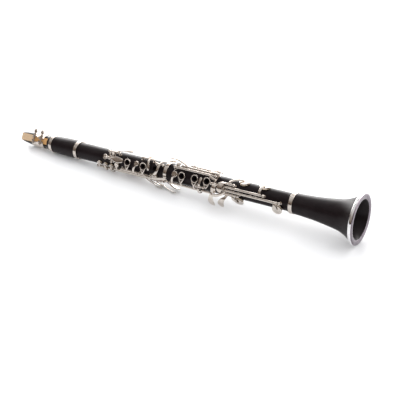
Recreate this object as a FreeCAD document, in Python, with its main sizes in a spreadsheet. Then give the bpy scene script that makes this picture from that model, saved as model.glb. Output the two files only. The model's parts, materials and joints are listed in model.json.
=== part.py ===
"""Boehm-system B flat clarinet, lying on its bell rim and barrel ring.  Millimetres.

Every piece is drawn in the instrument's own frame: X runs down the bore from the mouthpiece tip,
Z points out of the front (the finger holes) and Y to the player's left.  A place on the instrument
is given as (x, radius, angle), the angle turning from the front towards the player's right.
The last step lays all the pieces down together, with the floor at Z = 0.
"""
import FreeCAD, Part
import math
import os
import re
import Sketcher
from FreeCAD import Placement, Rotation, Vector

SIZES = {
    # lengths along the bore, from the mouthpiece tip
    "shank_x": (66.0, "start of the mouthpiece's shank swell"),
    "barrel_x": (71.0, "top of the barrel"),
    "upper_x": (137.0, "top of the upper joint"),
    "lower_x": (326.0, "top of the lower joint"),
    "bell_x": (556.0, "top of the bell"),
    "end_x": (668.0, "bell rim"),
    # outer radii
    "mouthpiece_r": (11.9, "mouthpiece at the ligature"),
    "shank_r": (13.4, "mouthpiece shank"),
    "barrel_top_r": (14.2, "barrel below its top ring"),
    "barrel_mid_r": (16.0, "barrel at its fullest"),
    "upper_r": (14.4, "upper joint body"),
    "lower_r": (14.4, "lower joint body"),
    "lower_top_r": (16.4, "lower joint under its socket ring"),
    "bell_top_r": (16.2, "bell below its socket ring"),
    "bell_mid_r": (23.0, "bell where the flare starts"),
    "rim_r": (40.0, "bell rim ring"),
    "mouth_r": (31.0, "opening of the bell at the rim"),
    "rim_edge": (3.4, "widest line of the bell rim ring, from its end"),
    # rings
    "barrel_ring_r": (15.7, "barrel top ring"),
    "barrel_low_ring_r": (16.6, "barrel bottom ring"),
    "socket_ring_r": (17.1, "lower joint and bell socket rings"),
    "ring_w": (6.5, "width of a socket ring"),
    "ring_bed": (1.6, "depth of the bed that a ring sits in"),
    "ring_edge": (0.7, "corner of a ring"),
    # bore and tenons
    "bore_r": (7.4, "main bore"),
    "bore_low_r": (11.0, "bore at the foot of the lower joint"),
    "tenon_r": (10.4, "small tenons"),
    "socket_r": (11.05, "small sockets"),
    "foot_tenon_r": (12.2, "tenon into the bell"),
    "foot_socket_r": (12.95, "socket in the bell"),
    "tenon_l": (18.0, "tenon length"),
    "cork_t": (0.6, "cork standing out of a tenon"),
    "cork_gap": (2.0, "bare tenon at each end of the cork"),
    # mouthpiece, reed and ligature
    "table_z": (8.9, "height of the flat that the reed lies on"),
    "tip_half_w": (6.3, "half the width of the mouthpiece tip"),
    "reed_l": (64.0, "reed length"),
    "reed_t": (2.9, "reed thickness at the butt"),
    "vamp_l": (36.0, "length of the reed's scraped part"),
    "ligature_x": (29.0, "top of the ligature"),
    "ligature_l": (27.0, "length of the ligature"),
    "ligature_r": (12.15, "inside of the ligature"),
    "ligature_t": (0.7, "ligature metal thickness"),
    "screw_r": (1.4, "ligature screw"),
    "screw_upper_x": (6.5, "upper ligature screw, from the top of the ligature"),
    "screw_lower_x": (22.5, "lower ligature screw, from the top of the ligature"),
    "screw_lift": (2.0, "ligature screws, from the outside of the band"),
    # key work
    "rod_r": (1.0, "steel rod"),
    "rod_clear": (0.06, "clearance between a rod and its tube"),
    "tube_r": (1.9, "hinge tube"),
    "ball_r": (2.4, "ball of a post"),
    "stem_r": (1.5, "stem of a post"),
    "foot_r": (2.5, "foot plate of a post"),
    "cup_h": (2.3, "height of a pad cup"),
    "cup_round": (1.0, "rounding of a pad cup's edge"),
    "pad_t": (1.8, "thickness of a pad"),
    "seat_r": (14.95, "top of a pad seat, from the bore axis"),
    "pad_gap": (0.12, "space between a closed pad and its seat"),
    "chimney_r": (16.2, "top of a finger hole's chimney, from the bore axis"),
    "ring_wire": (0.85, "wire radius of a finger ring"),
    # how it lies
    "roll": (58.5, "turn of the finger holes from straight up, in degrees"),
}

os.makedirs("parts", exist_ok=True)
DOC = FreeCAD.newDocument("clarinet")
SHEET = DOC.addObject("Spreadsheet::Sheet", "Sizes")
for row, (alias, (value, meaning)) in enumerate(SIZES.items(), start=1):
    SHEET.set(f"A{row}", meaning)
    SHEET.set(f"B{row}", str(value))
    SHEET.setAlias(f"B{row}", alias)
DOC.recompute()

NODES = []
BORE = Vector(1, 0, 0)
ALONG = Rotation(Vector(0, 1, 0), 90)
ACROSS = Rotation(Vector(1, 0, 0), -90)


# ---------------------------------------------------------------- sizes and places

def size(alias):
    """The value that the sheet holds for a size."""
    return float(SHEET.get(alias))


def formula(text):
    """A sum of sizes and numbers as an expression of the document."""
    return re.sub(r"[a-z]\w*", lambda word: "Sizes." + word.group(0), text)


def number(text):
    """The value of a sum of sizes and numbers."""
    total = 0.0
    for sign, term in re.findall(r"([+-]?)\s*([\w.]+)", text):
        value = size(term) if term in SIZES else float(term)
        total += -value if sign == "-" else value
    return total


def outward(angle):
    """The direction away from the bore at an angle."""
    turn = math.radians(angle)
    return Vector(0, -math.sin(turn), math.cos(turn))


def point(x, radius, angle):
    return Vector(x, 0, 0) + outward(angle) * radius


def standing(x, radius, angle):
    """A placement whose Z axis points away from the bore."""
    return Placement(point(x, radius, angle), Rotation(Vector(1, 0, 0), angle))


def keep(obj, label, turn=None):
    """Makes an object a piece of the instrument, under its own name."""
    obj.Label = label
    NODES.append((obj, turn or Placement()))
    return obj


# ---------------------------------------------------------------- building blocks

def cylinder(name, radius, height, place):
    obj = DOC.addObject("Part::Cylinder", name)
    obj.setExpression("Radius", formula(radius))
    obj.setExpression("Height", formula(height))
    obj.Placement = place
    return obj


def ball(name, radius, centre):
    obj = DOC.addObject("Part::Sphere", name)
    obj.setExpression("Radius", formula(radius))
    obj.Placement = Placement(centre, Rotation())
    return obj


def fused(name, members):
    obj = DOC.addObject("Part::MultiFuse", name)
    obj.Shapes = members
    obj.Refine = False
    return obj


def cut(name, base, tools):
    obj = DOC.addObject("Part::Cut", name)
    obj.Base = base
    obj.Tool = tools[0] if len(tools) == 1 else fused(name + "_tools", tools)
    obj.Refine = False
    return obj


def origin_plane(body, role):
    return next(item for item in body.Origin.OriginFeatures if item.Role == role)


def sketch_on(body, role, name):
    sketch = body.newObject("Sketcher::SketchObject", name)
    sketch.AttachmentSupport = [(origin_plane(body, role), "")]
    sketch.MapMode = "FlatFace"
    return sketch


def hold(sketch, geometry, end, name, across, up):
    """Holds one point of a sketch at a place given by two formulas."""
    for kind, text in (("DistanceX", across), ("DistanceY", up)):
        index = sketch.addConstraint(
            Sketcher.Constraint(kind, -1, 1, geometry, end, number(text)))
        label = name + kind[-1]
        sketch.renameConstraint(index, label)
        sketch.setExpression("Constraints." + label, formula(text))


def draw(sketch, corners):
    """Draws a closed outline.  A corner is (across, up), or (across, up, (across, up)) where the
    stretch that leads to it is an arc through the extra point."""
    spots = [Vector(number(corner[0]), number(corner[1]), 0) for corner in corners]
    count = len(corners)
    for index, corner in enumerate(corners):
        start, stop = spots[index - 1], spots[index]
        if len(corner) == 3:
            middle = Vector(number(corner[2][0]), number(corner[2][1]), 0)
            sketch.addGeometry(Part.Arc(start, middle, stop), False)
        else:
            sketch.addGeometry(Part.LineSegment(start, stop), False)
    ends = []
    for index, corner in enumerate(corners):
        # an arc may come back turned over, so the end that lies on the corner is looked up
        ends.append([end for end in (1, 2)
                     if (sketch.getPoint(index, end) - spots[index]).Length < 1e-6][0])
    for index, corner in enumerate(corners):
        following = (index + 1) % count
        sketch.addConstraint(Sketcher.Constraint(
            "Coincident", index, ends[index], following, 3 - ends[following]))
        hold(sketch, index, ends[index], f"corner{index}", corner[0], corner[1])
        if len(corner) == 3:
            across, up = corner[2]
            middle = sketch.addGeometry(Part.Point(Vector(number(across), number(up), 0)), True)
            hold(sketch, middle, 1, f"middle{index}", across, up)
            sketch.addConstraint(Sketcher.Constraint("PointOnObject", middle, 1, index))


def turned(name, corners):
    """A piece turned about the bore axis from an outline of (x, radius) corners."""
    body = DOC.addObject("PartDesign::Body", name)
    sketch = sketch_on(body, "XY_Plane", name + "_outline")
    draw(sketch, corners)
    turning = body.newObject("PartDesign::Revolution", name + "_turning")
    turning.Profile = sketch
    turning.ReferenceAxis = (sketch, ["H_Axis"])
    turning.Angle = 360
    sketch.Visibility = False
    return body


def milled(body, role, name, corners, length=None):
    """Cuts a sketched outline through a body, evenly to both sides of the sketch plane."""
    sketch = sketch_on(body, role, name + "_outline")
    draw(sketch, corners)
    pocket = body.newObject("PartDesign::Pocket", name)
    pocket.Profile = sketch
    pocket.Midplane = True
    if length:
        pocket.Type = 0
        pocket.setExpression("Length", formula(length))
    else:
        pocket.Type = 1
    body.Tip = pocket
    return pocket


def loft(name, path, widths, thick, lay):
    """A flat bar of oval section that runs smoothly through (x, radius, angle) places.
    lay says which way its width lies: "around" the bore or "along" it."""
    spots = [point(*place) for place in path]
    line = Part.BSplineCurve()
    line.interpolate(spots)
    sections = []
    for spot, place, width in zip(spots, path, widths):
        tangent = line.tangent(line.parameter(spot))[0]
        wide = BORE if lay == "along" else outward(place[2] + 90)
        wide = (wide - tangent * wide.dot(tangent)).normalize()
        high = tangent.cross(wide)
        thickness = min(thick, width)
        oval = Part.Ellipse(Vector(), width / 2 + 1e-3, thickness / 2).toShape()
        frame = FreeCAD.Matrix(wide.x, high.x, tangent.x, spot.x,
                               wide.y, high.y, tangent.y, spot.y,
                               wide.z, high.z, tangent.z, spot.z, 0, 0, 0, 1)
        sections.append(Part.Wire(oval.transformGeometry(frame)))
    obj = DOC.addObject("Part::Feature", name)
    obj.Shape = Part.makeLoft(sections, True, False)
    return obj


# ---------------------------------------------------------------- rods, posts and keys

class Rod:
    """A steel rod that a key swings on.  It lies along the bore, or crosses it."""

    def __init__(self, name, start, stop, radius, angle, crossing=False):
        self.name = name
        self.crossing = crossing
        if crossing:
            middle = point(start, radius, angle)
            side = Vector(0, 1, 0) * (stop / 2)
            self.start, self.stop = middle - side, middle + side
            self.turn = ACROSS
        else:
            self.start, self.stop = point(start, radius, angle), point(stop, radius, angle)
            self.turn = ALONG
        self.axis = (self.stop - self.start).normalize()

    def length(self):
        return (self.stop - self.start).Length

    def tube(self):
        return cylinder(self.name + "_tube", "tube_r", str(round(self.length(), 3)),
                        Placement(self.start, self.turn))

    def hole(self):
        start = self.start - self.axis * 0.5
        return cylinder(self.name + "_hole", "rod_r + rod_clear", str(round(self.length() + 1, 3)),
                        Placement(start, self.turn))

    def ends(self):
        """The centres of the two posts' balls."""
        reach = self.axis * (size("ball_r") + 0.2)
        return self.start - reach, self.stop + reach

    def pin(self):
        first, last = self.ends()
        overhang = self.axis * size("ball_r")
        total = (last - first).Length + 2 * size("ball_r")
        return cylinder(self.name + "_rod", "rod_r", str(round(total, 3)),
                        Placement(first - overhang, self.turn))

    def posts(self, body_radius):
        """Two posts: a foot plate on the wood, a stem and a drilled ball."""
        made = []
        for index, centre in enumerate(self.ends()):
            radius = math.hypot(centre.y, centre.z)
            angle = math.degrees(math.atan2(-centre.y, centre.z))
            name = f"{self.name}_post{index}"
            base = standing(centre.x, number(body_radius) - 2.5, angle)
            foot = standing(centre.x, number(body_radius) - 0.6, angle)
            stem_length = str(round(radius - number(body_radius) + 2.5, 3))
            made.append(cylinder(name + "_stem", "stem_r", stem_length, base))
            made.append(cylinder(name + "_foot", "foot_r", "1.3", foot))
            made.append(ball(name + "_ball", "ball_r", centre))
        return made

    def spring(self):
        """A needle spring that leaves one post and runs beside the tube."""
        first = self.ends()[0]
        inward = Vector(0, -first.y, -first.z).normalize()
        length = str(round(min(24.0, self.length() * 0.7), 3))
        start = first + inward * (size("tube_r") + 0.9)
        return cylinder(self.name + "_spring", "0.3", length, Placement(start, self.turn))


class Key:
    """One key, drawn with its pad closed, then swung to where it stands at rest."""

    def __init__(self, label, rod, rest_angle=0.0):
        self.label = label
        self.rod = rod
        self.rest_angle = rest_angle
        self.solids = [rod.tube()]
        self.recesses = [rod.hole()]
        self.pads = []

    def turn(self):
        swing = Rotation(self.rod.axis, self.rest_angle)
        return Placement(Vector(), swing, self.rod.start)

    def bar(self, path, widths, thick=1.6, lay="around"):
        name = f"{self.label}_bar{len(self.solids)}"
        self.solids.append(loft(name, path, widths, thick, lay))
        return self

    def cup(self, x, angle, radius, seat="seat_r", loose_pad=True):
        """A rounded pad cup over a seat, with the pad that it holds."""
        name = f"{self.label}_cup{len(self.solids)}"
        low = number(seat) + size("pad_gap")
        shell_low = low + size("pad_t") - 0.7
        shell = cylinder(name, str(radius), "cup_h", standing(x, shell_low, angle))
        rounded = DOC.addObject("Part::Fillet", name + "_rounded")
        rounded.Base = shell
        rounded.Edges = [(3, size("cup_round"), size("cup_round"))]
        self.solids.append(rounded)
        pad = cylinder(name + "_pad", str(radius - 0.5), "pad_t", standing(x, low, angle))
        if loose_pad:
            self.recesses.append(cylinder(name + "_recess", str(radius - 0.5), "pad_t",
                                          standing(x, low, angle)))
            self.pads.append(pad)
        else:
            self.solids.append(pad)
        return self

    def ring(self, x, angle, radius):
        """A finger ring that lies level with its chimney's top."""
        ring = DOC.addObject("Part::Torus", f"{self.label}_ring{len(self.solids)}")
        ring.Radius1 = radius
        ring.setExpression("Radius2", formula("ring_wire"))
        ring.Placement = standing(x, number("chimney_r"), angle)
        self.solids.append(ring)
        return self

    def forked_ring(self, x, angle, radius):
        """A finger ring held by an arm that forks to both sides of it."""
        self.ring(x, angle, radius)
        for side in (-0.7 * radius, 0.7 * radius):
            self.bar([(x, 18.5, angle + 37), (x + 0.6 * side, 17.5, angle + 27),
                      (x + side, 16.4, angle + 15)], [2.8, 2.2, 1.9], 1.5, "along")
        return self

    def finish(self, pad_label=None):
        metal = fused(self.label + "_metal", self.solids)
        keep(cut(self.label + "_key", metal, self.recesses), self.label, self.turn())
        if self.pads:
            keep(self.pads[0], pad_label or self.label.replace("_key", "") + "_pad", self.turn())


# ---------------------------------------------------------------- mouthpiece

def make_mouthpiece():
    """A turned blank with a flat table, a sloping beak and a chamber under the reed."""
    blank = turned("mouthpiece_blank", [
        ("0", "3"), ("0", "11.2"), ("20", "11.6"), ("ligature_x + ligature_l", "mouthpiece_r"),
        ("shank_x - 4", "mouthpiece_r + 0.3"),
        ("shank_x", "shank_r", ("shank_x - 1.6", "mouthpiece_r + 1")),
        ("barrel_x", "shank_r"), ("barrel_x", "tenon_r"), ("barrel_x + tenon_l", "tenon_r"),
        ("barrel_x + tenon_l", "bore_r"), ("44", "bore_r"), ("36", "3"),
    ])
    milled(blank, "XZ_Plane", "table", [
        ("18", "table_z"), ("-2", "table_z - 1.2", ("8", "table_z - 0.35")), ("-2", "20"),
        ("reed_l + 1", "20"), ("reed_l + 1", "table_z"),
    ])
    milled(blank, "XZ_Plane", "beak", [
        ("-1", "6.9"), ("-1", "-16"), ("34", "-16"), ("32", "-11.9", ("33", "-14")),
        ("-0.5", "6.9", ("16", "-3.2")),
    ])
    for side in ("", "-"):
        milled(blank, "XY_Plane", "side_left" if side else "side_right", [
            ("-1", side + "16"), ("-1", side + "6.2"), ("0", side + "tip_half_w"),
            ("34", side + "12.2", ("16", side + "10")), ("34", side + "16"),
        ])
    milled(blank, "XZ_Plane", "chamber", [
        ("3", "table_z + 2"), ("3", "table_z - 2.2"), ("34", "-4.5", ("18", "0.6")),
        ("42", "-4.5"), ("42", "4.5"), ("34", "table_z + 2", ("36", "7")),
    ], "10.4")
    keep(blank, "mouthpiece")
    keep(tenon_cork("mouthpiece_cork_ring", "barrel_x", "tenon_r"), "mouthpiece_cork")


def tenon_cork(name, start, inner, length="tenon_l"):
    """The cork sleeve of a tenon that begins at start."""
    low, high = start + " + cork_gap", start + f" + {length} - cork_gap"
    return turned(name, [(low, inner), (low + " + 0.8", inner + " + cork_t"),
                         (high + " - 0.8", inner + " + cork_t"), (high, inner)])


def make_reed():
    """A cane reed: flat below, round like the cane above, scraped thin towards the tip."""
    cane = DOC.addObject("PartDesign::Body", "reed_cane")
    side = sketch_on(cane, "XZ_Plane", "reed_side")
    draw(side, [
        ("0.4", "table_z"), ("reed_l", "table_z"), ("reed_l", "table_z + reed_t"),
        ("vamp_l", "table_z + reed_t"),
        ("0.4", "table_z + 0.15", ("12", "table_z + 0.75")),
    ])
    slab = cane.newObject("PartDesign::Pad", "reed_slab")
    slab.Profile = side
    slab.Midplane = True
    slab.Length = 13.0
    cane.Tip = slab
    for sign in ("", "-"):
        milled(cane, "XY_Plane", "reed_taper_left" if sign else "reed_taper_right", [
            ("12", sign + "6.5"), ("reed_l + 1", sign + "5.7"), ("reed_l + 1", sign + "9"),
            ("12", sign + "9"),
        ])
    bark = cylinder("reed_bark", "table_z + reed_t - 0.02", "reed_l + 2",
                    Placement(Vector(-1, 0, 0), ALONG))
    reed = DOC.addObject("Part::Common", "reed_shape")
    reed.Base = cane
    reed.Tool = bark
    keep(reed, "reed")


def screw_place(name):
    """Where the middle of a ligature screw is, on the plane through the bore."""
    along = number(f"ligature_x + screw_{name}_x")
    height = number("ligature_r + ligature_t + screw_lift")
    return Vector(along, 0, height)


def make_ligature():
    """A metal band with two screws across the reed."""
    start, stop = "ligature_x", "ligature_x + ligature_l"
    outer = "ligature_r + ligature_t"
    band = turned("ligature_sleeve", [
        (start, "ligature_r"), (start, outer + " + 0.4"), (start + " + 1.6", outer + " + 0.4"),
        (start + " + 2.2", outer), (stop + " - 2.2", outer), (stop + " - 1.6", outer + " + 0.4"),
        (stop, outer + " + 0.4"), (stop, "ligature_r"),
    ])
    lugs, holes, screws = [], [], []
    for name, spread in (("upper", 27), ("lower", 19)):
        x, _, height = screw_place(name)
        for side in (-1, 1):
            low = 3.4 if side > 0 else -7.4
            lugs.append(cylinder(f"lug_{name}{side}", "screw_r + 1.3", "4",
                                 Placement(Vector(x, low, height), ACROSS)))
            lugs.append(loft(f"lug_foot_{name}{side}",
                             [(x, 12.3, -side * spread), (x, 13.6, -side * spread),
                              (x, 14.9, -side * (spread - 3))],
                             [6.5, 5.0, 4.4], 3.0, "along"))
        holes.append(cylinder(f"lug_hole_{name}", "screw_r + 0.08", "20",
                              Placement(Vector(x, -10, height), ACROSS)))
        shank = cylinder(f"screw_{name}_shank", "screw_r", "20.5",
                         Placement(Vector(x, -8.5, height), ACROSS))
        neck = cylinder(f"screw_{name}_neck", "screw_r + 0.9", "2.2",
                        Placement(Vector(x, 7.7, height), ACROSS))
        head = DOC.addObject("Part::Ellipsoid", f"screw_{name}_head")
        head.Radius1 = 4.8
        head.Radius2 = 3.6
        head.Radius3 = 1.8
        head.Placement = Placement(Vector(x, 14.2, height), ACROSS)
        screws.append((name, fused(f"screw_{name}", [shank, neck, head])))
    slit = DOC.addObject("Part::Box", "ligature_slit")
    slit.Length = 40
    slit.Width = 3.0
    slit.Height = 12
    slit.Placement = Placement(Vector(number(start) - 5, -1.5, 5), Rotation())
    window = DOC.addObject("Part::Box", "ligature_window")
    window.Length = 12
    window.Width = 8.4
    window.Height = 12
    window.Placement = Placement(Vector(number(start) + 2.4, -4.2, 5), Rotation())
    keep(cut("ligature_shape", fused("ligature_metal", [band] + lugs), holes + [slit, window]),
         "ligature_band")
    for name, screw in screws:
        keep(screw, f"ligature_screw_{name}")


# ---------------------------------------------------------------- barrel

def make_barrel():
    """A waisted barrel with a socket and a metal ring at each end."""
    bed = "barrel_ring_r - ring_bed"
    low_bed = "barrel_low_ring_r - ring_bed"
    keep(turned("barrel_wood", [
        ("barrel_x", "socket_r"), ("barrel_x", bed), ("barrel_x + ring_w", bed),
        ("barrel_x + ring_w", "barrel_top_r + 0.2"),
        ("barrel_x + ring_w + 1.5", "barrel_top_r + 0.4"),
        ("upper_x - ring_w - 1.5", "barrel_mid_r", ("upper_x - 28", "barrel_mid_r - 0.1")),
        ("upper_x - ring_w", "barrel_mid_r - 0.2"), ("upper_x - ring_w", low_bed),
        ("upper_x", low_bed), ("upper_x", "socket_r"),
        ("upper_x - tenon_l - 0.3", "socket_r"), ("upper_x - tenon_l - 0.3", "bore_r"),
        ("barrel_x + tenon_l + 0.3", "bore_r"), ("barrel_x + tenon_l + 0.3", "socket_r"),
    ]), "barrel_body")
    top = metal_ring("barrel_top_ring", "barrel_x", "barrel_x + ring_w", bed, "barrel_ring_r")
    low = metal_ring("barrel_low_ring", "upper_x - ring_w", "upper_x", low_bed,
                     "barrel_low_ring_r")
    keep(fused("barrel_ring_pair", [top, low]), "barrel_rings")


def metal_ring(name, start, stop, inner, outer):
    """A turned ring with softened outer edges."""
    return turned(name, [
        (start, inner), (start, outer + " - ring_edge"),
        (start + " + ring_edge", outer, (start + " + 0.2", outer + " - 0.2")),
        (stop + " - ring_edge", outer),
        (stop, outer + " - ring_edge", (stop + " - 0.2", outer + " - 0.2")), (stop, inner),
    ])


# ---------------------------------------------------------------- upper and lower joints

# (x, angle, hole radius) of each pad's hole
UPPER_PAD_HOLES = [(204.5, 3, 2.4), (214, 0, 2.2), (190, 52, 2.2), (203, 56, 2.4), (216, 56, 2.6),
                   (229.5, 36, 2.8), (272, -3, 2.8), (288, -78, 2.6), (308, 47, 3.4),
                   (258, 178, 2.6)]
LOWER_PAD_HOLES = [(350, 2, 3.2), (398, 88, 2.6), (474, -50, 5.4), (469, 77, 5.4), (509, -57, 5.6),
                   (538.5, 58, 5.8)]
UPPER_FINGER_HOLES = [(252, 4, 3.3, 4.1), (285, 5, 3.5, 4.4), (308, 0, 3.7, 4.9)]
LOWER_FINGER_HOLES = [(363, 4, 3.7, 4.7), (388, 1, 3.7, 4.7), (411, -1, 4.0, 4.9)]
THUMB_HOLE = (244, 180)
REGISTER_HOLE = (178, 180)


def drilled(name, wood, pad_holes, finger_holes, extra):
    """Adds the pad seats and finger chimneys to a joint and drills its holes."""
    raised, drills = [], list(extra)
    for index, (x, angle, radius) in enumerate(pad_holes):
        raised.append(cylinder(f"{name}_seat{index}", str(radius + 1.1), "seat_r - 9",
                               standing(x, 9, angle)))
        drills.append(cylinder(f"{name}_drill{index}", str(radius), "14", standing(x, 5, angle)))
    for index, (x, angle, radius, chimney) in enumerate(finger_holes):
        raised.append(cylinder(f"{name}_chimney{index}", str(chimney), "chimney_r - 9",
                               standing(x, 9, angle)))
        drills.append(cylinder(f"{name}_finger{index}", str(radius), "14",
                               standing(x, 5, angle)))
    bore = cylinder(f"{name}_inside", "bore_r", "tenon_l + bell_x",
                    Placement(Vector(0, 0, 0), ALONG))
    return cut(name + "_drilled", fused(name + "_raised", [wood] + raised), drills + [bore])


def make_upper_joint():
    wood = turned("upper_joint_wood", [
        ("upper_x - tenon_l", "5"), ("upper_x - tenon_l", "tenon_r"), ("upper_x", "tenon_r"),
        ("upper_x", "upper_r - 0.6"), ("upper_x + 0.6", "upper_r"), ("lower_x - 0.6", "upper_r"),
        ("lower_x", "upper_r - 0.6"), ("lower_x", "tenon_r"), ("lower_x + tenon_l", "tenon_r"),
        ("lower_x + tenon_l", "5"),
    ])
    inserts, insert_drills = make_inserts()
    keep(drilled("upper_joint", wood, UPPER_PAD_HOLES, UPPER_FINGER_HOLES, insert_drills),
         "upper_joint_body")
    keep(inserts, "bore_inserts")
    corks = [tenon_cork("upper_tenon_cork", "upper_x - tenon_l", "tenon_r"),
             tenon_cork("middle_tenon_cork", "lower_x", "tenon_r")]
    keep(fused("upper_cork_pair", corks), "upper_tenon_corks")


def make_inserts():
    """The metal tubes of the register hole and the thumb hole, and the beds drilled for them."""
    tubes, beds, drills = [], [], []
    for name, place, outer, inner, top in (("register", REGISTER_HOLE, 2.6, 1.5, 16.0),
                                           ("thumb", THUMB_HOLE, 4.4, 3.6, 16.2)):
        x, angle = place
        low = 8.6
        tubes.append(cylinder(name + "_insert", str(outer), str(top - low),
                              standing(x, low, angle)))
        beds.append(cylinder(name + "_bed", str(outer), "12", standing(x, low, angle)))
        drills.append(cylinder(name + "_drill", str(inner), "14", standing(x, 5, angle)))
        beds.append(cylinder(name + "_entry", str(inner), "6", standing(x, 4, angle)))
    return cut("insert_tubes", fused("insert_blanks", tubes), drills), beds


def make_lower_joint():
    bed = "socket_ring_r - ring_bed"
    wood = turned("lower_joint_wood", [
        ("lower_x", "socket_r"), ("lower_x", bed), ("lower_x + ring_w", bed),
        ("lower_x + ring_w", "lower_top_r"), ("lower_x + ring_w + 1", "lower_top_r"),
        ("lower_x + ring_w + 13", "lower_r", ("lower_x + ring_w + 6", "lower_r + 0.6")),
        ("bell_x - 6", "lower_r"), ("bell_x", "lower_r + 0.9"), ("bell_x", "foot_tenon_r"),
        ("bell_x + tenon_l", "foot_tenon_r"), ("bell_x + tenon_l", "bore_low_r"),
        ("bell_x - 60", "bore_r - 0.2", ("bell_x - 16", "bore_r + 1.5")),
        ("lower_x + tenon_l + 0.3", "bore_r - 0.2"), ("lower_x + tenon_l + 0.3", "socket_r"),
    ])
    keep(drilled("lower_joint", wood, LOWER_PAD_HOLES, LOWER_FINGER_HOLES, []),
         "lower_joint_body")
    keep(metal_ring("lower_ring", "lower_x", "lower_x + ring_w", bed, "socket_ring_r"),
         "lower_joint_ring")
    keep(tenon_cork("foot_cork", "bell_x", "foot_tenon_r"), "lower_tenon_cork")


def make_thumb_rest():
    """A curved hook that the right thumb carries, on a plate with two screws."""
    plate = loft("thumb_rest_plate", [(x, 14.9, 180) for x in (380, 388, 396, 404)],
                 [8, 10.5, 10.5, 8], 1.6, "around")
    hook = loft("thumb_rest_hook", [(391, 14.9, 180), (390.5, 20, 180), (388.5, 26, 180),
                                    (385, 31, 180)], [9, 11, 13, 10], 2.4, "around")
    screws = [ball(f"thumb_rest_screw{index}", "1.9", point(x, 14.6, 180))
              for index, x in enumerate((383, 400))]
    keep(fused("thumb_rest_shape", [plate, hook] + screws), "thumb_rest")


# ---------------------------------------------------------------- bell

def make_bell():
    bed = "socket_ring_r - ring_bed"
    keep(turned("bell_wood", [
        ("bell_x", "foot_socket_r"), ("bell_x", bed), ("bell_x + ring_w", bed),
        ("bell_x + ring_w", "bell_top_r"),
        ("632", "bell_mid_r", ("598", "18.4")),
        ("end_x - 6.2", "rim_r - 2.6", ("650", "29.0")),
        ("end_x - 6.2", "rim_r - 4"), ("end_x - 1.6", "rim_r - 4"), ("end_x - 1.6", "mouth_r"),
        ("638", "bell_mid_r - 3.4", ("652", "mouth_r - 6.4")),
        ("bell_x + tenon_l + 0.3", "bore_low_r", ("608", "bore_low_r + 3.2")),
        ("bell_x + tenon_l + 0.3", "foot_socket_r"),
    ]), "bell_body")
    keep(metal_ring("bell_top_ring", "bell_x", "bell_x + ring_w", bed, "socket_ring_r"),
         "bell_socket_ring")
    keep(turned("bell_rim", [
        ("end_x - 6.2", "rim_r - 4"), ("end_x - 6.2", "rim_r - 1.6"),
        ("end_x - rim_edge", "rim_r", ("end_x - 5.3", "rim_r - 0.5")),
        ("end_x", "rim_r - 2.8", ("end_x - 0.9", "rim_r - 0.8")),
        ("end_x", "rim_r - 4.6"),
        ("end_x - 0.9", "mouth_r", ("end_x - 0.2", "rim_r - 6.6")),
        ("end_x - 1.6", "mouth_r"), ("end_x - 1.6", "rim_r - 4"),
    ]), "bell_rim_ring")


# ---------------------------------------------------------------- upper joint keys

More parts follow.
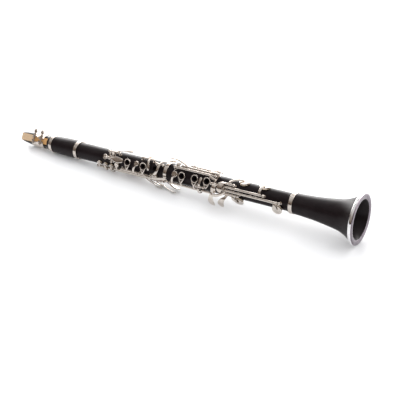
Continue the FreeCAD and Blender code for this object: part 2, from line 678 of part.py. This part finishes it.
def make_upper_keys():
    rods = []

    def rod(*args, **options):
        rods.append(Rod(*args, **options))
        return rods[-1]

    Key("register_key", rod("register", 196, 7.0, 18.6, 180, crossing=True)).bar(
        [(177, 18.9, 180), (187, 19.7, 180), (196, 19.9, 180), (207, 19.6, 180), (217, 18.5, 180),
         (229, 17.9, 180)], [3.2, 3.0, 4.0, 4.5, 7.5, 5.0], 1.8).cup(
        178, 180, 3.9, seat="16").finish()

    Key("throat_a_key", rod("throat_a", 221, 8.0, 19.4, 0, crossing=True)).bar(
        [(203, 18.6, 3), (208, 19.8, 3), (214, 21.9, 3), (221, 21.6, 3), (226, 20.6, 3.2),
         (234, 19.9, 3.5), (240, 19.9, 3.5), (244, 20.1, 3.5)],
        [3.4, 3.6, 3.4, 4.2, 8.5, 10.5, 8.0, 4.0], 1.7).cup(204.5, 3, 4.5).finish()

    Key("throat_g_sharp_key", rod("throat_g_sharp", 212, 229, 19.0, -34)).bar(
        [(214, 19.0, -34), (214, 19.7, -22), (214, 18.8, -9), (214, 18.4, 2)],
        [4.0, 3.4, 3.4, 2.4], 1.4, "along").bar(
        [(225, 19.2, -34), (230, 22.6, -41), (238, 24.5, -45), (247, 25.2, -47), (255, 25.0, -47),
         (259, 24.6, -47)], [4.0, 5.0, 8.0, 9.5, 8.0, 4.0]).cup(214, 0, 4.1).finish()

    Key("side_key_1", rod("side_1", 226, 296, 18.3, 66)).bar(
        [(229.5, 18.3, 66), (229.5, 19.7, 55), (229.5, 19.0, 44), (229.5, 18.4, 36)],
        [4.0, 3.4, 3.4, 2.4], 1.5, "along").bar(
        [(289, 18.6, 66), (292, 21.2, 68), (297, 23.0, 74), (303, 24.6, 79), (308, 26.2, 82),
         (314, 27.8, 83), (319, 28.8, 84), (322, 29.0, 84)],
        [3.0, 3.4, 3.8, 5.0, 7.0, 8.0, 7.0, 4.0]).cup(229.5, 36, 4.5).finish()

    Key("side_key_2", rod("side_2", 198, 300, 18.3, 94)).bar(
        [(203, 18.4, 94), (203, 21.3, 88), (203, 22.1, 80), (203, 21.0, 68), (203, 18.5, 57)],
        [4.0, 3.6, 3.4, 3.4, 2.4], 1.5, "along").bar(
        [(293, 18.6, 94), (296, 21.3, 96), (301, 22.8, 99), (307, 23.8, 102), (314, 24.6, 105),
         (319, 25.0, 106.5), (322, 25.1, 107)],
        [3.0, 3.4, 4.2, 6.0, 7.5, 6.5, 4.0]).cup(203, 56, 4.3).finish()

    Key("side_key_3", rod("side_3", 186, 316, 18.3, 80)).bar(
        [(190, 18.3, 80), (190, 19.7, 70), (190, 19.0, 60), (190, 18.4, 52)],
        [4.0, 3.4, 3.4, 2.4], 1.5, "along").bar(
        [(309, 18.6, 80), (312, 21.2, 81), (317, 22.6, 83), (323, 23.8, 85), (331, 26.4, 87),
         (341, 29.2, 86), (348, 30.3, 84), (351, 30.5, 84)],
        [3.0, 3.4, 3.6, 4.0, 6.0, 8.5, 7.5, 4.5]).cup(190, 52, 4.3).finish()

    Key("side_key_4", rod("side_4", 212, 316, 18.3, 108)).bar(
        [(216, 18.3, 108), (216, 21.2, 101), (216, 22.1, 92), (216, 22.2, 81), (216, 21.0, 69),
         (216, 18.5, 56)], [4.0, 3.6, 3.4, 3.4, 3.4, 2.4], 1.5, "along").bar(
        [(307, 18.4, 108), (311, 18.9, 115), (316, 19.4, 122), (322, 20.0, 123), (330, 21.6, 119),
         (338, 23.4, 114), (346, 24.4, 111), (351, 24.7, 111)],
        [2.6, 2.8, 3.0, 3.4, 5.0, 8.0, 7.0, 4.0]).cup(216, 56, 4.3).finish()

    Key("upper_ring_key_1", rod("upper_ring_1", 243, 275, 18.6, 51), 5.0).bar(
        [(252, 18.6, 51), (252, 19.0, 46), (252, 18.4, 39)], [4.5, 4.0, 3.6], 1.5, "along").bar(
        [(267, 18.6, 51), (267, 20.0, 38), (269, 19.4, 20), (271, 18.8, 6), (272, 18.4, -3)],
        [4.5, 3.8, 3.6, 3.4, 2.4], 1.5, "along").forked_ring(252, 4, 5.5).cup(272, -3, 4.4).finish()

    Key("upper_ring_key_2", rod("upper_ring_2", 280.2, 297, 18.6, 51), 5.0).bar(
        [(285, 18.6, 51), (285, 19.0, 46), (285, 18.4, 40)], [4.5, 4.0, 3.6], 1.5, "along").bar(
        [(289, 18.9, 51), (292, 21.4, 50), (297, 22.9, 49), (304, 23.7, 47), (314, 23.9, 43),
         (326, 22.8, 38), (336, 21.6, 33)],
        [3.0, 3.4, 4.0, 4.4, 4.4, 4.8, 3.6]).forked_ring(285, 5, 5.9).finish()

    Key("thumb_ring_key", rod("thumb_ring", 238, 262, 18.6, 140), -5.0).bar(
        [(244, 18.6, 140), (244, 19.2, 147), (244, 18.0, 155), (244, 16.4, 161)],
        [4.5, 4.0, 3.6, 2.6], 1.5, "along").bar(
        [(257, 18.6, 140), (257, 20.0, 152), (258, 19.2, 166), (258, 18.4, 178)],
        [4.0, 3.8, 3.6, 2.4], 1.5, "along").ring(244, 180, 5.9).cup(258, 178, 4.2).finish()

    Key("left_sliver_key", rod("left_sliver", 280, 299, 18.8, -44)).bar(
        [(294, 18.8, -44), (294, 20.0, -28), (295, 18.8, -10), (296, 17.9, 8), (296, 17.7, 20)],
        [4.0, 3.6, 4.6, 5.2, 3.0], 1.5, "along").bar(
        [(287, 18.8, -44), (287.5, 19.8, -58), (288, 18.9, -70), (288, 18.4, -79)],
        [4.0, 3.6, 3.4, 2.4], 1.5, "along").cup(288, -78, 4.4, loose_pad=False).finish()

    Key("c_sharp_key", rod("c_sharp", 313.2, 320.4, 18.9, -26)).bar(
        [(308, 18.7, 49), (309, 19.3, 40), (313, 19.9, 24), (316, 20.2, 4), (317, 20.4, -14),
         (317, 20.3, -27)], [2.4, 4.0, 4.6, 4.6, 4.6, 3.6], 1.5, "along").bar(
        [(318, 20.3, -27), (320, 20.6, -38), (326, 21.2, -48), (334, 22.3, -55), (341, 22.8, -58),
         (345, 22.8, -58)], [3.6, 4.4, 6.0, 8.5, 7.5, 4.0]).cup(308, 47, 5.2).finish()
    return rods


# ---------------------------------------------------------------- lower joint keys

def make_lower_keys():
    rods = []

    def rod(*args, **options):
        rods.append(Rod(*args, **options))
        return rods[-1]

    lower_ring = Key("lower_ring_key", rod("lower_ring", 343, 418, 19.0, 60), 5.0)
    for x, angle in ((363, 4), (388, 1), (411, -1)):
        lower_ring.forked_ring(x, angle, 6.0)
        lower_ring.bar([(x, 19.0, 60), (x, 19.6, 52), (x, 19.2, 44), (x, 18.4, angle + 35)],
                       [4.8, 3.6, 3.0, 2.8], 1.5, "along")
    lower_ring.bar([(346, 19.0, 60), (346, 20.2, 46), (347, 19.6, 28), (349, 18.9, 12),
                    (350, 18.4, 2)], [4.8, 4.0, 3.6, 3.4, 2.4], 1.5, "along")
    lower_ring.cup(350, 2, 5.2).finish()

    Key("right_sliver_key", rod("right_sliver", 395.5, 403.5, 18.8, 38)).bar(
        [(398.5, 18.8, 38), (398.5, 19.4, 25), (399, 18.4, 10), (399.5, 17.8, -5),
         (399.5, 17.7, -12)], [4.0, 3.8, 4.6, 5.0, 3.0], 1.5, "along").bar(
        [(398, 18.8, 38), (398, 21.6, 47), (398, 23.0, 60), (398, 21.6, 74), (398, 18.5, 88)],
        [4.0, 3.6, 3.4, 3.4, 2.4], 1.5, "along").cup(398, 88, 4.4, loose_pad=False).finish()

    Key("a_flat_key", rod("a_flat", 443.5, 458.5, 20.0, -10)).bar(
        [(451, 20.2, -10), (454, 21.6, -20), (460, 22.0, -32), (467, 20.8, -44), (474, 19.0, -51)],
        [3.6, 4.0, 4.2, 4.6, 3.0]).bar(
        [(446, 20.0, -10), (445, 23.4, -8), (441, 25.2, -1), (440, 26.0, 10), (440, 26.0, 22),
         (440, 25.6, 30)], [4.0, 5.0, 8.0, 9.0, 8.5, 5.0], 1.6, "along").cup(
        474, -50, 8.5).finish()

    Key("f_sharp_key", rod("f_sharp", 424, 512, 20.0, 5)).bar(
        [(507, 20.0, 5), (507.5, 21.6, -9), (508.2, 21.6, -26), (508.7, 20.7, -43),
         (509, 18.9, -58)], [5.0, 4.4, 4.4, 4.6, 3.0], 1.6, "along").bar(
        [(429, 20.0, 4), (429, 22.4, 9), (428.5, 23.6, 16), (428, 24.0, 26), (428, 23.7, 36),
         (428, 23.1, 43)], [4.4, 6.0, 8.0, 9.0, 8.5, 5.0], 1.6, "along").bar(
        [(429, 20.6, 7), (429, 22.2, -3), (428, 23.1, -15)], [4.0, 3.4, 2.6], 1.5,
        "along").cup(509, -57, 8.5).finish()

    Key("e_key", rod("e", 446, 540.5, 20.0, 21), -10.0).bar(
        [(535.5, 20.0, 21), (536, 21.5, 32), (537.5, 20.6, 45), (538.5, 18.9, 58)],
        [5.0, 4.6, 4.6, 3.2], 1.6, "along").bar(
        [(450, 20.0, 21), (448, 24.2, 30), (443, 27.2, 38), (436, 29.0, 42), (430, 29.6, 45)],
        [3.8, 4.4, 4.4, 5.0, 4.0]).bar(
        [(429, 29.2, 41), (427.5, 29.9, 52), (426.5, 30.1, 66), (426, 30.4, 80), (426, 30.6, 94)],
        [5.5, 7.5, 10.5, 10.5, 5.5], 1.6, "along").cup(538.5, 58, 8.5).finish()

    Key("f_key", rod("f", 449, 468, 19.6, 37), -10.0).bar(
        [(462, 19.6, 37), (463, 21.8, 48), (466, 21.2, 63), (469, 18.9, 78)],
        [5.0, 4.8, 4.8, 3.0], 1.6, "along").bar(
        [(452, 19.6, 37), (451, 23.6, 46), (447.5, 26.8, 55), (443.5, 28.4, 67),
         (441.5, 29.2, 81), (441, 29.8, 96)], [4.0, 4.8, 6.5, 10.0, 10.5, 5.5], 1.6,
        "along").cup(469, 77, 8.5).finish()

    Key("left_f_sharp_lever", rod("left_f_sharp", 349, 422, 20.0, -32)).bar(
        [(352, 20.0, -32), (352, 23.2, -40), (353, 24.2, -46), (353, 24.0, -52)],
        [4.4, 7.0, 8.5, 5.0], 1.6, "along").bar(
        [(412, 20.0, -32), (416, 20.9, -24), (422, 21.2, -18), (430, 20.9, -14)],
        [3.0, 3.4, 3.6, 2.6]).finish()

    Key("left_f_lever", rod("left_f", 361, 422, 19.4, -48)).bar(
        [(369, 19.6, -48), (365, 21.6, -52), (359, 23.6, -57), (349, 26.2, -62), (338, 27.6, -63),
         (330, 27.6, -62), (327, 27.4, -61)], [3.4, 3.8, 4.6, 6.4, 9.0, 8.0, 4.5], 2.2).bar(
        [(411, 19.8, -48), (415, 22.2, -46), (420, 23.2, -44), (426, 23.0, -43), (431, 22.2, -42)],
        [3.0, 3.4, 3.8, 3.8, 2.6]).finish()

    Key("left_e_lever", rod("left_e", 376, 422, 19.4, -64)).bar(
        [(382, 19.8, -64), (378, 21.6, -69), (370, 23.2, -78), (360, 24.2, -88), (350, 25.0, -93),
         (341, 25.0, -95), (338, 25.0, -95)], [3.2, 3.6, 4.4, 6.0, 8.0, 7.0, 4.0]).bar(
        [(411, 19.8, -64), (415, 22.2, -63), (420, 23.2, -61), (426, 23.0, -59), (434, 22.0, -57)],
        [3.0, 3.4, 3.8, 3.8, 2.6]).finish()
    return rods


def make_ironwork(prefix, rods, body_radius):
    """The posts, rods and needle springs of one joint, each kind in one node."""
    posts = [item for rod in rods for item in rod.posts(body_radius)]
    keep(fused(f"{prefix}_posts", posts), f"posts_{prefix}")
    keep(fused(f"{prefix}_rods", [rod.pin() for rod in rods]), f"rods_{prefix}")
    keep(fused(f"{prefix}_springs", [rod.spring() for rod in rods if not rod.crossing]),
         f"springs_{prefix}")


# ---------------------------------------------------------------- lying on the floor

def lying():
    """The instrument rests on its bell rim and its barrel ring, rolled so that the finger holes
    face up to one side."""
    rim_x = number("end_x - rim_edge")
    run = rim_x - number("barrel_x + ring_edge")
    tilt = math.asin((size("rim_r") - size("barrel_ring_r")) / run)
    height = size("rim_r") * math.cos(tilt) - rim_x * math.sin(tilt)
    roll = Rotation(Vector(1, 0, 0), size("roll"))
    rise = Rotation(Vector(0, 1, 0), -math.degrees(tilt))
    return Placement(Vector(0, 0, height), rise.multiply(roll))


def lay_down():
    """Places every piece, then moves the whole so that the middle of its box is over the origin."""
    pose = lying()
    for obj, turn in NODES:
        obj.Placement = pose.multiply(turn).multiply(obj.Placement)
    DOC.recompute()
    box = FreeCAD.BoundBox()
    for obj, _ in NODES:
        box.add(obj.Shape.optimalBoundingBox(False, False))
    shift = Placement(Vector(-box.Center.x, -box.Center.y, -box.ZMin), Rotation())
    for obj, _ in NODES:
        obj.Placement = shift.multiply(obj.Placement)
    DOC.recompute()
    return shift.multiply(pose)


def check_and_write():
    for obj in DOC.Objects:
        if "Invalid" in obj.State or "Error" in obj.State:
            raise RuntimeError(f"{obj.Label} failed: {obj.State}")
    for obj, _ in NODES:
        shape = obj.Shape
        if shape.isNull() or not shape.isValid():
            raise RuntimeError(f"{obj.Label} has no valid shape")
        shape.exportStep(f"parts/{obj.Label}.step")


make_mouthpiece()
make_reed()
make_ligature()
make_barrel()
make_upper_joint()
UPPER_RODS = make_upper_keys()
make_ironwork("upper", UPPER_RODS, "upper_r")
make_lower_joint()
make_thumb_rest()
LOWER_RODS = make_lower_keys()
make_ironwork("lower", LOWER_RODS, "lower_r")
make_bell()
POSE = lay_down()
check_and_write()
print(len(NODES), "pieces written, mouthpiece tip at", POSE.Base)
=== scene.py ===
import json
import math

import bmesh
import bpy
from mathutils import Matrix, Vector


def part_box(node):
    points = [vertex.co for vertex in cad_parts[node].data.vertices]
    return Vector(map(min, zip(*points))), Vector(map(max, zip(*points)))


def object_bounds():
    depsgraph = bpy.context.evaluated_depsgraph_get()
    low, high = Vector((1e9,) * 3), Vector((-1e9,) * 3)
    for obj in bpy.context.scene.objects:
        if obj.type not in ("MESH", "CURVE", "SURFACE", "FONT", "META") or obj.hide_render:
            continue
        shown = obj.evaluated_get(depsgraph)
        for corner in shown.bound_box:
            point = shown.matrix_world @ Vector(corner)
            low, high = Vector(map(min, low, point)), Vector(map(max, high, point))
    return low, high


# The clarinet's looks: finishes for every CAD piece, the floor, the lights and the camera.

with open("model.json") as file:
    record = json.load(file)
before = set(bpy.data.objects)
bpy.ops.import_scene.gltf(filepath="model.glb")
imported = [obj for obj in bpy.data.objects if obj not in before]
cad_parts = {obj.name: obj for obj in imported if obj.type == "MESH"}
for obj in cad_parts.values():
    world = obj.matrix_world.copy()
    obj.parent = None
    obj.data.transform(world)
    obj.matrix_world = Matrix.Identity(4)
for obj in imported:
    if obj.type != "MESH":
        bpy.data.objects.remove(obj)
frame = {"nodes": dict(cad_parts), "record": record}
CAD_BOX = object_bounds()
NODES = frame["nodes"]
SLOT_OF = {part["node"]: part["material_slot"] for part in frame["record"]["subparts"]}

TIP_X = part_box("mouthpiece")[0].x
AXIS_Y = sum(corner.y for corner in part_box("bell_rim_ring")) / 2
FLOOR_Z = CAD_BOX[0].z
BELL_FACE = next(mount for mount in frame["record"]["mounts"] if mount["name"] == "bell_face")

# Lengths are in metres.
NOISE_LOW, NOISE_HIGH = 0.3, 0.7        # most of a noise texture's values lie between these
LIP_STARTS, LIP_FULL = 0.0016, 0.0007   # how far behind the bell's face the lip begins and is complete
BARK_STARTS, BARK_FULL = 0.42, 0.47     # the same for the reed's bark, in shares of its length from the tip
FLOOR_SIZE = 60
FLOOR_GAP = 0.0002                      # keeps the floor clear of the clarinet's lowest points
DOME_RADIUS = 8.0
FRONT_GLOW, BACK_GLOW = 1.0, 8.0        # the strengths of the two halves of the surroundings


# ---------------------------------------------------------------- finishes

class Finish:
    """A node material around one Principled shader. Lengths in it are in metres."""

    def __init__(self, name, **constants):
        self.material = bpy.data.materials.new(name)
        self.material.use_nodes = True
        self.tree = self.material.node_tree
        self.shader = self.tree.nodes["Principled BSDF"]
        for socket, value in constants.items():
            self.shader.inputs[socket.replace("_", " ")].default_value = value
        self.place = self.tree.nodes.new("ShaderNodeTexCoord").outputs["Object"]

    def stretched(self, stretch):
        """The place with each axis multiplied, so that a pattern runs long or short along it."""
        mapping = self.tree.nodes.new("ShaderNodeMapping")
        mapping.inputs["Scale"].default_value = stretch
        self.tree.links.new(self.place, mapping.inputs["Vector"])
        return mapping.outputs["Vector"]

    def noise(self, size, detail=4.0, rough=0.55, stretch=(1, 1, 1)):
        """Soft noise with blobs about `size` across."""
        node = self.tree.nodes.new("ShaderNodeTexNoise")
        node.inputs["Scale"].default_value = 1 / size
        node.inputs["Detail"].default_value = detail
        node.inputs["Roughness"].default_value = rough
        self.tree.links.new(self.stretched(stretch), node.inputs["Vector"])
        return node.outputs["Fac"]

    def cells(self, size):
        """Distance to the middle of the nearest of many small cells."""
        node = self.tree.nodes.new("ShaderNodeTexVoronoi")
        node.inputs["Scale"].default_value = 1 / size
        self.tree.links.new(self.place, node.inputs["Vector"])
        return node.outputs["Distance"]

    def along(self, start, stop):
        """0 before x = start and 1 after x = stop."""
        split = self.tree.nodes.new("ShaderNodeSeparateXYZ")
        self.tree.links.new(self.place, split.inputs[0])
        return self.ranged(split.outputs["X"], start, stop, 0.0, 1.0)

    def near_face(self, face, start, stop):
        """0 further than `start` behind a flat face of the record, and 1 closer than `stop`."""
        away = self.tree.nodes.new("ShaderNodeVectorMath")
        away.operation = "SUBTRACT"
        away.inputs[1].default_value = face["pos_m"]
        self.tree.links.new(self.place, away.inputs[0])
        depth = self.tree.nodes.new("ShaderNodeVectorMath")
        depth.operation = "DOT_PRODUCT"
        depth.inputs[1].default_value = face["axis"]
        self.tree.links.new(away.outputs["Vector"], depth.inputs[0])
        return self.ranged(depth.outputs["Value"], -start, -stop, 0.0, 1.0)

    def ranged(self, value, low, high, to_low, to_high):
        """`value` carried from low..high to to_low..to_high, and held at those ends."""
        node = self.tree.nodes.new("ShaderNodeMapRange")
        limits = {"From Min": low, "From Max": high, "To Min": to_low, "To Max": to_high}
        for socket, number in limits.items():
            node.inputs[socket].default_value = number
        self.tree.links.new(value, node.inputs["Value"])
        return node.outputs["Result"]

    def ramp(self, value, *stops):
        """A colour that runs through `stops`, each (position, (r, g, b))."""
        node = self.tree.nodes.new("ShaderNodeValToRGB")
        elements = node.color_ramp.elements
        while len(elements) < len(stops):
            elements.new(0.5)
        for element, (position, colour) in zip(elements, stops):
            element.position = position
            element.color = (*colour, 1)
        self.tree.links.new(value, node.inputs["Fac"])
        return node.outputs["Color"]

    def mixed(self, amount, first, second):
        """The first colour where `amount` is 0, and the second where it is 1."""
        node = self.tree.nodes.new("ShaderNodeMix")
        node.data_type = "RGBA"
        self.tree.links.new(amount, node.inputs["Factor"])
        self.tree.links.new(first, node.inputs["A"])
        self.tree.links.new(second, node.inputs["B"])
        return node.outputs["Result"]

    def raised(self, base, amount, by):
        """`base`, and more by `by` where `amount` is 1."""
        node = self.tree.nodes.new("ShaderNodeMath")
        node.operation = "MULTIPLY_ADD"
        node.inputs[1].default_value = by
        self.tree.links.new(amount, node.inputs[0])
        self.tree.links.new(base, node.inputs[2])
        return node.outputs["Value"]

    def feed(self, socket, output):
        self.tree.links.new(output, self.shader.inputs[socket])

    def colour(self, output):
        self.feed("Base Color", output)

    def roughness(self, value, low, high):
        self.feed("Roughness", self.ranged(value, NOISE_LOW, NOISE_HIGH, low, high))

    def bumps(self, *layers):
        """Raises the surface by each (height map, depth in metres), one on the other."""
        normal = None
        for height, depth in layers:
            node = self.tree.nodes.new("ShaderNodeBump")
            node.inputs["Strength"].default_value = 1.0
            node.inputs["Distance"].default_value = depth
            self.tree.links.new(height, node.inputs["Height"])
            if normal:
                self.tree.links.new(normal, node.inputs["Normal"])
            normal = node.outputs["Normal"]
        self.feed("Normal", normal)


def black_body():
    """Satin black wood: long fine grain, a soft sheen and a few lighter rubbed places."""
    finish = Finish("blackwood", Specular_IOR_Level=0.15)
    grain = finish.noise(0.0011, 6, 0.62, (0.07, 1, 1))
    cloud = finish.noise(0.03, 3)
    dark = finish.ramp(grain, (0.32, (0.0050, 0.0026, 0.0032)), (0.72, (0.0102, 0.0058, 0.0068)))
    rubbed = finish.ramp(grain, (0.3, (0.0080, 0.0048, 0.0056)), (0.75, (0.0145, 0.0092, 0.0102)))
    finish.colour(finish.mixed(finish.ranged(cloud, 0.48, 0.72, 0, 1), dark, rubbed))
    finish.roughness(finish.noise(0.006, 5, 0.6, (0.4, 1, 1)), 0.29, 0.38)
    finish.bumps((grain, 0.000012), (cloud, 0.00008))
    return finish.material


def black_resin():
    """The mouthpiece's moulded hard rubber: glossier, with faint flow marks and small scratches."""
    finish = Finish("mouthpiece_resin", Specular_IOR_Level=0.42, Coat_Weight=0.12, Coat_Roughness=0.12)
    flow = finish.noise(0.004, 4, 0.5, (0.5, 1, 1))
    scratch = finish.noise(0.0005, 3, 0.7, (0.12, 1, 1))
    finish.colour(finish.ramp(flow, (0.3, (0.0050, 0.0040, 0.0042)), (0.75, (0.0140, 0.0105, 0.0095))))
    finish.roughness(scratch, 0.17, 0.29)
    finish.bumps((scratch, 0.000006), (flow, 0.00002))
    return finish.material


def nickel_plate():
    """Plated metal: polishing lines, handled places that are duller, and a slightly uneven face."""
    finish = Finish("nickel", Metallic=1.0)
    handled = finish.noise(0.005, 4, 0.6)
    lines = finish.noise(0.0006, 4, 0.65, (0.25, 1, 1))
    finish.colour(finish.ramp(handled, (0.34, (0.56, 0.50, 0.45)), (0.60, (0.74, 0.685, 0.63))))
    finish.roughness(finish.noise(0.0022, 5, 0.62), 0.09, 0.20)
    finish.bumps((lines, 0.000003), (handled, 0.00003))
    return finish.material


def bell_rim():
    """The bell's rim: mirror plate round its edge, and a duller lip where the bell is stood down, its dark
    purple-grey colour a painted shade and reflection.
    """
    finish = Finish("rim_plate", Metallic=1.0)
    handled = finish.noise(0.005, 4, 0.6)
    scuffs = finish.noise(0.0009, 4, 0.65)
    lip = finish.near_face(BELL_FACE, LIP_STARTS, LIP_FULL)
    edge_colour = finish.ramp(handled, (0.34, (0.80, 0.78, 0.79)), (0.60, (0.90, 0.89, 0.90)))
    # painted shade and reflection: the lip is coloured dark purple-grey like the shaded inside of the bell,
    # not the plate's own colour
    lip_painted_shade_and_reflection = finish.ramp(handled, (0.34, (0.120, 0.098, 0.118)), (0.60, (0.180, 0.152, 0.176)))
    finish.colour(finish.mixed(lip, edge_colour, lip_painted_shade_and_reflection))
    edge_rough = finish.ranged(scuffs, NOISE_LOW, NOISE_HIGH, 0.035, 0.085)
    finish.feed("Roughness", finish.raised(edge_rough, lip, 0.22))
    finish.bumps((scuffs, 0.000003), (handled, 0.00003))
    return finish.material


def blued_steel():
    """Drawn steel with faint heat marks and fine lines along it."""
    finish = Finish("steel", Metallic=1.0)
    heat = finish.noise(0.004, 3)
    finish.colour(finish.ramp(heat, (0.3, (0.36, 0.35, 0.36)), (0.7, (0.58, 0.56, 0.55))))
    finish.roughness(finish.noise(0.0006, 4, 0.6, (0.2, 1, 1)), 0.2, 0.34)
    finish.bumps((finish.noise(0.0004, 3, 0.6, (0.1, 1, 1)), 0.000003))
    return finish.material


def reed_cane():
    """Cane: a pale scraped blade and the amber bark behind it, with fibres along it."""
    finish = Finish("cane", Specular_IOR_Level=0.4)
    low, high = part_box("reed")
    fibres = finish.noise(0.00035, 5, 0.7, (0.03, 1, 1))
    blotch = finish.noise(0.006, 3)
    blade = finish.ramp(fibres, (0.30, (0.42, 0.27, 0.15)), (0.70, (0.66, 0.49, 0.32)))
    bark = finish.ramp(fibres, (0.30, (0.38, 0.185, 0.060)), (0.70, (0.62, 0.350, 0.130)))
    length = high.x - low.x
    butt = finish.along(low.x + BARK_STARTS * length, low.x + BARK_FULL * length)
    finish.colour(finish.mixed(butt, blade, bark))
    finish.roughness(blotch, 0.42, 0.60)
    finish.bumps((fibres, 0.000018), (blotch, 0.00003))
    return finish.material


def tenon_cork():
    """Greased cork: warm brown grains with dark pits."""
    finish = Finish("cork", Specular_IOR_Level=0.25)
    grains = finish.cells(0.0010)
    pits = finish.noise(0.0016, 5, 0.75)
    base = finish.ramp(grains, (0.05, (0.50, 0.30, 0.15)), (0.65, (0.30, 0.165, 0.075)))
    dark = finish.ramp(grains, (0.05, (0.13, 0.065, 0.03)), (0.65, (0.08, 0.04, 0.02)))
    finish.colour(finish.mixed(finish.ranged(pits, 0.56, 0.66, 0, 1), base, dark))
    finish.roughness(grains, 0.66, 0.86)
    finish.bumps((pits, 0.00012), (grains, 0.00008))
    return finish.material


def pad_skin():
    """Fish skin over felt: cream, faintly glossy, with a fine wrinkle."""
    finish = Finish("pad_skin", Specular_IOR_Level=0.45)
    wrinkle = finish.noise(0.0009, 5, 0.65)
    stain = finish.noise(0.004, 3)
    finish.colour(finish.ramp(stain, (0.35, (0.60, 0.44, 0.27)), (0.70, (0.78, 0.66, 0.48))))
    finish.roughness(wrinkle, 0.36, 0.55)
    finish.bumps((wrinkle, 0.00004))
    return finish.material


FINISHES = {
    "blackwood": black_body(),
    "mouthpiece_resin": black_resin(),
    "nickel": nickel_plate(),
    "steel": blued_steel(),
    "cane": reed_cane(),
    "cork": tenon_cork(),
    "pad_skin": pad_skin(),
}
FINISH_OF_NODE = {"bell_rim_ring": bell_rim()}

for name, node in NODES.items():
    finish = FINISH_OF_NODE.get(name, FINISHES[SLOT_OF[name]])
    for slot in node.material_slots:
        slot.material = finish


# ---------------------------------------------------------------- floor, lights and camera

def make_floor():
    """A plain pale floor, just under the clarinet."""
    half = FLOOR_SIZE / 2
    mesh = bpy.data.meshes.new("floor")
    corners = [(-half, -half, 0), (half, -half, 0), (half, half, 0), (-half, half, 0)]
    mesh.from_pydata(corners, [], [(0, 1, 2, 3)])
    obj = bpy.data.objects.new("floor", mesh)
    obj.location = (0, 0, FLOOR_Z - FLOOR_GAP)
    obj.rotation_euler.z = math.pi  # half a turn, which decides where the mottle falls
    bpy.context.scene.collection.objects.link(obj)
    finish = Finish("floor_white", Specular_IOR_Level=0.3)
    mottle = finish.noise(0.4, 3)
    finish.colour(finish.ramp(mottle, (0.3, (0.86, 0.86, 0.865)), (0.7, (0.88, 0.88, 0.885))))
    finish.roughness(mottle, 0.34, 0.40)
    mesh.materials.append(finish.material)


def make_surroundings():
    """What the metal and the black wood mirror: a window wall behind, brightest low down, and in front a
    warm grey room that is dark near the floor and light overhead. Only reflections see it, so the floor
    stays plain. Heights and depths are in shares of the radius."""
    mesh = bpy.data.meshes.new("surroundings")
    shell = bmesh.new()
    bmesh.ops.create_icosphere(shell, subdivisions=5, radius=DOME_RADIUS)
    shell.to_mesh(mesh)
    shell.free()
    dome = bpy.data.objects.new("surroundings", mesh)
    bpy.context.scene.collection.objects.link(dome)
    dome.visible_camera = False
    dome.visible_diffuse = False
    dome.visible_shadow = False
    dome.visible_transmission = False
    finish = Finish("surroundings")
    tree = finish.tree
    split = tree.nodes.new("ShaderNodeSeparateXYZ")
    tree.links.new(finish.stretched((1 / DOME_RADIUS,) * 3), split.inputs[0])
    height, depth = split.outputs["Z"], split.outputs["Y"]
    front = finish.ramp(
        height,
        (0.00, (0.024, 0.014, 0.009)),
        (0.10, (0.040, 0.023, 0.015)),
        (0.17, (0.190, 0.150, 0.125)),
        (0.45, (0.290, 0.250, 0.222)),
        (0.75, (0.600, 0.580, 0.570)),
        (1.00, (0.850, 0.850, 0.860)),
    )
    back = finish.ramp(
        height,
        (0.00, (0.040, 0.035, 0.034)),
        (0.05, (0.100, 0.095, 0.092)),
        (0.13, (1.000, 0.990, 0.980)),
        (0.42, (0.600, 0.590, 0.590)),
        (0.75, (0.140, 0.137, 0.134)),
        (1.00, (0.085, 0.085, 0.086)),
    )
    behind = finish.ranged(depth, -0.15, 0.35, 0, 1)
    emission = tree.nodes.new("ShaderNodeEmission")
    tree.links.new(finish.mixed(behind, front, back), emission.inputs["Color"])
    tree.links.new(finish.ranged(depth, 0.0, 0.5, FRONT_GLOW, BACK_GLOW), emission.inputs["Strength"])
    tree.links.new(emission.outputs["Emission"], tree.nodes["Material Output"].inputs["Surface"])
    mesh.materials.append(finish.material)


def make_world(strength):
    world = bpy.data.worlds.new("studio")
    world.use_nodes = True
    background = world.node_tree.nodes["Background"]
    background.inputs["Color"].default_value = (0.985, 0.99, 1.0, 1)
    background.inputs["Strength"].default_value = strength
    bpy.context.scene.world = world


def make_sun(direction, strength, angle):
    """A wide soft lamp that shines along `direction`; its angle is in degrees."""
    lamp = bpy.data.lights.new("window", "SUN")
    lamp.energy = strength
    lamp.angle = math.radians(angle)
    obj = bpy.data.objects.new("window", lamp)
    obj.rotation_mode = "QUATERNION"
    obj.rotation_quaternion = Vector(direction).to_track_quat("-Z", "Y")
    bpy.context.scene.collection.objects.link(obj)


def make_camera(offset, yaw, pitch, lens):
    """The camera stands `offset` from the floor point under the mouthpiece's tip, in metres. Its yaw is
    from straight along +y and its pitch is downwards, in degrees; its lens is in millimetres."""
    data = bpy.data.cameras.new("camera")
    data.lens = lens
    data.clip_start = 0.05
    data.clip_end = 100
    camera = bpy.data.objects.new("camera", data)
    camera.location = Vector((TIP_X, AXIS_Y, FLOOR_Z)) + Vector(offset)
    level = math.cos(math.radians(pitch))
    aim = Vector((
        math.sin(math.radians(yaw)) * level,
        math.cos(math.radians(yaw)) * level,
        -math.sin(math.radians(pitch)),
    ))
    camera.rotation_mode = "QUATERNION"
    camera.rotation_quaternion = aim.to_track_quat("-Z", "Y")
    bpy.context.scene.collection.objects.link(camera)
    bpy.context.scene.camera = camera


make_floor()
make_surroundings()
make_world(strength=1.22)
make_sun(direction=(-0.05, -0.50, -0.86), strength=0.6, angle=50)
make_camera(offset=(1.003, -0.963, 0.614), yaw=-32.54, pitch=28.60, lens=70.8)
bpy.context.scene.view_settings.view_transform = "Standard"
